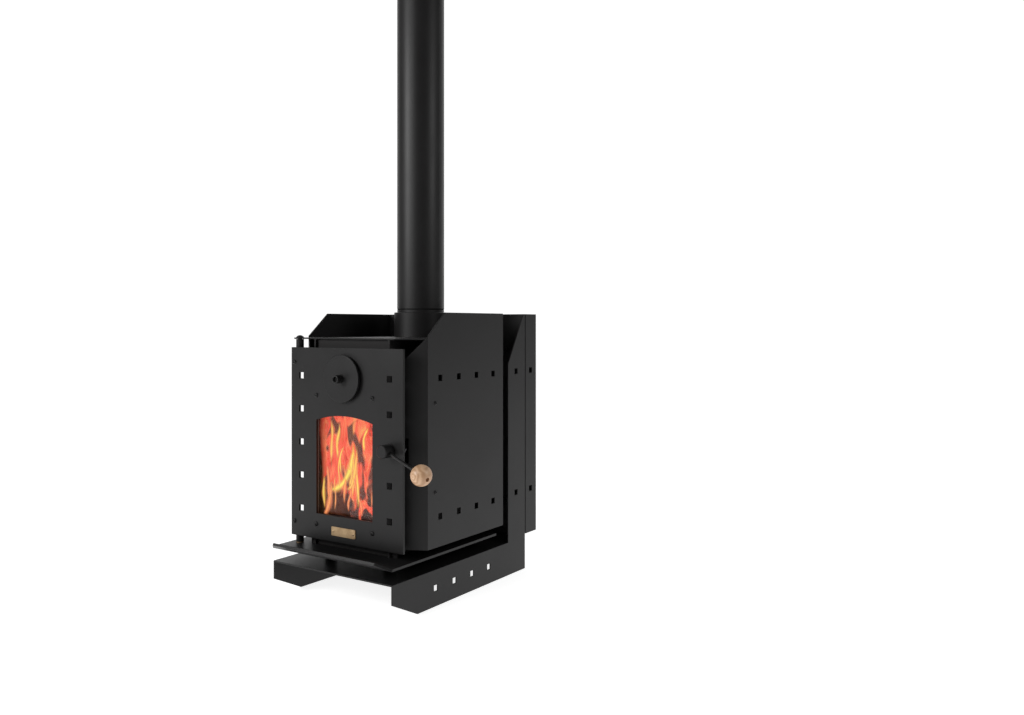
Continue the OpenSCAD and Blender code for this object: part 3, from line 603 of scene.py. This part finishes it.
def flame_tongue(index, heat, half, line, material):
    """Narrow curved ribbon that tapers to both ends."""
    rows, heats, edges = [], [], []
    steps = 8 * (len(line) - 1) + 1
    for r in range(steps):
        t = r / (steps - 1)
        here = spline(line, t)
        ahead = spline(line, min(1.0, t + 0.02)) - spline(line, max(0.0, t - 0.02))
        side = Vector((-ahead.y, ahead.x)).normalized()
        grow = half * (0.35 + 0.65 * math.sin(math.pi * min(1.0, max(0.0, t))) ** 0.7)
        grow *= 1 + 0.18 * math.sin(11 * t + index)
        row = []
        for c in range(STRAND_COLUMNS):
            off = 2 * c / (STRAND_COLUMNS - 1) - 1
            spot = here + side * grow * off * 1.5
            bow = 1.2 * (1 - off * off)
            row.append(stove(spot.x, STRAND_Y - bow + 0.9 * math.sin(5 * t + index), spot.y))
            core = 1 - abs(off)
            fade = min(1.0, 5 * t + 0.1, 5 * (1 - t) + 0.1)
            heats.append(heat * (0.35 + 0.65 * core) * (0.75 + 0.25 * fade))
            edges.append(core * fade)
        rows.append(row)
    name = f"flame_tongue_{index:02d}"
    mesh = grid_mesh(name, rows)
    layer = mesh.uv_layers.new(name="ribbon")
    for corner in mesh.loops:
        layer.data[corner.index].uv = (heats[corner.vertex_index], edges[corner.vertex_index])
    return shown(name, mesh, material)


def charred_wood(name):
    """Burnt log: cracked grey-black scales with embers glowing in the cracks, and a faint warm painted glow
    over the whole surface for the fire's light on it.
    """
    mat, tree, shader = new_material(name)
    at = coords(tree)
    cracks = tree.nodes.new("ShaderNodeTexVoronoi")
    cracks.feature = "DISTANCE_TO_EDGE"
    bent = noise(tree, at, 55.0, 3.0, 0.6)
    shaken = mixed(tree, 0.08, at, mixed(tree, bent, (0, 0, 0), (1, 1, 1)), "ADD")
    tree.links.new(stretched(tree, shaken, (1.0, 0.55, 1.0)), cracks.inputs["Vector"])
    cracks.inputs["Scale"].default_value = 85.0
    ash = noise(tree, at, 130.0, 4.0, 0.65)
    coal, grey = (0.020, 0.016, 0.015), (0.17, 0.14, 0.13)
    colour = mixed(tree, ramp(tree, ash, [(0.42, 0.0), (0.68, 1.0)]), coal, grey)
    tree.links.new(colour, shader.inputs["Base Color"])
    shader.inputs["Roughness"].default_value = 0.9
    ember = noise(tree, at, 26.0, 3.0, 0.6)
    seam = ramp(tree, cracks.outputs["Distance"], [(0.0, 1.0), (0.09, 0.0)])
    hot = calc(tree, "MULTIPLY", seam, ramp(tree, ember, [(0.46, 0.0), (0.62, 1.0)]))
    glow = ramp(tree, hot, [(0.0, (0, 0, 0)), (0.4, (0.8, 0.07, 0.03)), (1.0, (1.0, 0.32, 0.13))])
    # Painted light: the faint warm emission everywhere is the fire's light on the log, painted on; only the
    # glow in the cracks is the embers' own
    base = mixed(tree, hot, (0.050, 0.030, 0.028), glow, "ADD")
    tree.links.new(base, shader.inputs["Emission Color"])
    shader.inputs["Emission Strength"].default_value = 0.9
    bump(tree, shader, cracks.outputs["Distance"], 0.9, 0.004)
    return mat


def log_piece(name, start, end, radius, seed, material):
    """Split log with bark ridges, broken ends and one flat side."""
    a, b = stove(*start), stove(*end)
    along = (b - a).normalized()
    side = along.cross(Vector((0, 0, 1))).normalized()
    up = side.cross(along)
    rows = [[a + along * 0.004] * LOG_SIDES]
    for r in range(LOG_STEPS + 1):
        t = r / LOG_STEPS
        middle = a.lerp(b, t) + side * 0.0012 * math.sin(4 * t + seed)
        row = []
        for c in range(LOG_SIDES):
            angle = math.tau * c / LOG_SIDES
            cos, sin = math.cos(angle), math.sin(angle)
            reach = radius * MM * (1 - 0.10 * (2 * t - 1) ** 6)
            reach *= 1 + 0.13 * field.noise(Vector((cos * 2.2, sin * 2.2, 3 * t + seed)))
            reach *= 1 + 0.05 * math.sin(9 * angle + seed + 2 * t)
            split = math.cos(angle - 0.7 * seed)
            if split > 0.72:
                reach *= 0.72 / split
            jag = 0.004 * field.noise(Vector((cos * 3, sin * 3, seed))) if r in (0, LOG_STEPS) else 0
            row.append(middle + side * reach * cos + up * reach * sin + along * jag)
        rows.append(row)
    rows.append([b - along * 0.004] * LOG_SIDES)
    return shown(name, grid_mesh(name, rows, True), material)


def ember_bed(name, material):
    """Uneven bed of ash and embers on the grate."""
    lo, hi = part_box("fire_grate")
    last = BED_STEPS
    rows = []
    for r in range(last + 1):
        y = lo.y + 0.004 + (hi.y - lo.y - 0.008) * r / last
        row = []
        for c in range(last + 1):
            x = lo.x + 0.003 + (hi.x - lo.x - 0.006) * c / last
            rim = min(1.0, 6 * min(r, last - r) / last, 6 * min(c, last - c) / last)
            coarse = field.noise(Vector((x * 60, y * 60, 1.0)))
            fine = field.noise(Vector((x * 150, y * 150, 4.0)))
            lump = max(0.0, 0.5 + coarse + 0.5 * fine)
            row.append(Vector((x, y, hi.z + 0.0004 + rim * (0.005 + 0.007 * lump))))
        rows.append(row)
    return shown(name, grid_mesh(name, rows), material)


def in_room(across, deep, up):
    """A point for stove(), from shares of the fire's room."""
    return across * ROOM_HALF, deep * ROOM_DEPTH, GRATE_TOP + up * ROOM_HEIGHT


def make_fire():
    """Logs, embers and flames in the firebox."""
    charred = charred_wood("charred_wood")
    for k, (start, end, radius) in enumerate(LOGS):
        log_piece(f"log_{k + 1}", in_room(*start), in_room(*end), radius * ROOM_HALF, k + 1, charred)
    ember_bed("ember_bed", charred)
    front = glowing("flame_front", curtain_colour, curtain_alpha)
    deep = glowing("flame_deep", curtain_colour, back_alpha, 0.9)
    ribbon = glowing("flame_ribbon", tongue_colour, tongue_alpha)
    flame_curtain("flame_curtain_front", -97, 96, 138, 440, 26, 2.2, front)
    flame_curtain("flame_curtain_middle", -70, 70, 150, 380, 95, 9, deep)
    flame_curtain("flame_curtain_back", -72, 72, 150, 380, 165, 12, deep)
    for index, (heat, half, line) in enumerate(flame_lines()):
        flame_tongue(index, heat, half, line, ribbon)


# ---------------------------------------------------------------- stage

# Half the floor's width, in metres
FLOOR_HALF = 12.0


def make_floor():
    """Large plain floor, which is not part of the object."""
    mesh = bpy.data.meshes.new("floor")
    corners = [(x * FLOOR_HALF, y * FLOOR_HALF, 0) for x, y in ((-1, -1), (1, -1), (1, 1), (-1, 1))]
    mesh.from_pydata(corners, [], [(0, 1, 2, 3)])
    floor = bpy.data.objects.new("floor", mesh)
    bpy.context.scene.collection.objects.link(floor)
    mesh.materials.append(paper_floor("floor"))


def make_camera():
    """Level camera to the right of the door."""
    data = bpy.data.cameras.new("camera")
    data.lens = LENS
    data.sensor_width = SENSOR
    data.shift_y = SHIFT
    camera = bpy.data.objects.new("camera", data)
    bpy.context.scene.collection.objects.link(camera)
    camera.location = CAMERA
    camera.rotation_euler = (math.radians(90), 0, CAMERA_TURN)
    bpy.context.scene.camera = camera


def area_light(name, place, target, size, power):
    """Soft rectangular light aimed at a point; both are in metres from the stove's front."""
    data = bpy.data.lights.new(name, "AREA")
    data.shape = "RECTANGLE"
    data.size, data.size_y = size
    data.energy = power
    light = bpy.data.objects.new(name, data)
    bpy.context.scene.collection.objects.link(light)
    light.location = FRONT + Vector(place)
    light.rotation_euler = (Vector(target) - Vector(place)).to_track_quat("-Z", "Y").to_euler()


# Brightness of the studio around the stove, beside the white backdrop's
WORLD_DIM = 0.16


def make_world():
    """White backdrop around the far side, and a dim studio behind the camera and overhead."""
    world = bpy.data.worlds.new("studio")
    world.use_nodes = True
    tree = world.node_tree
    background = tree.nodes["Background"]
    around = tree.nodes.new("ShaderNodeTexCoord").outputs["Generated"]
    facing = vector_calc(tree, "DOT_PRODUCT", around, -VIEW)
    white = ramp(tree, facing, [(0.48, WORLD_DIM), (0.76, 1.0)])
    tree.links.new(white, background.inputs["Color"])
    background.inputs["Strength"].default_value = 1.05
    bpy.context.scene.world = world


def make_lights():
    """Soft studio boxes: the key from the front left, a tall strip for the pipe, and a fill on the right."""
    make_world()
    area_light("key", (-1.15, -2.0, 1.45), (0.1, 0.1, 0.7), (0.8, 0.9), 37)
    area_light("strip", (-0.2, -2.4, 1.6), (0, 0.24, 1.0), (0.4, 1.5), 13)
    area_light("fill", (2.0, 0.5, 1.35), (0.1, 0.2, 0.6), (0.8, 0.6), 8)


def set_colours():
    """Plain display colours, so that the white surroundings stay white."""
    bpy.context.scene.view_settings.view_transform = "Standard"
    bpy.context.scene.view_settings.look = "None"


make_camera()
paint_nodes()
make_fire()
make_floor()
make_lights()
set_colours()
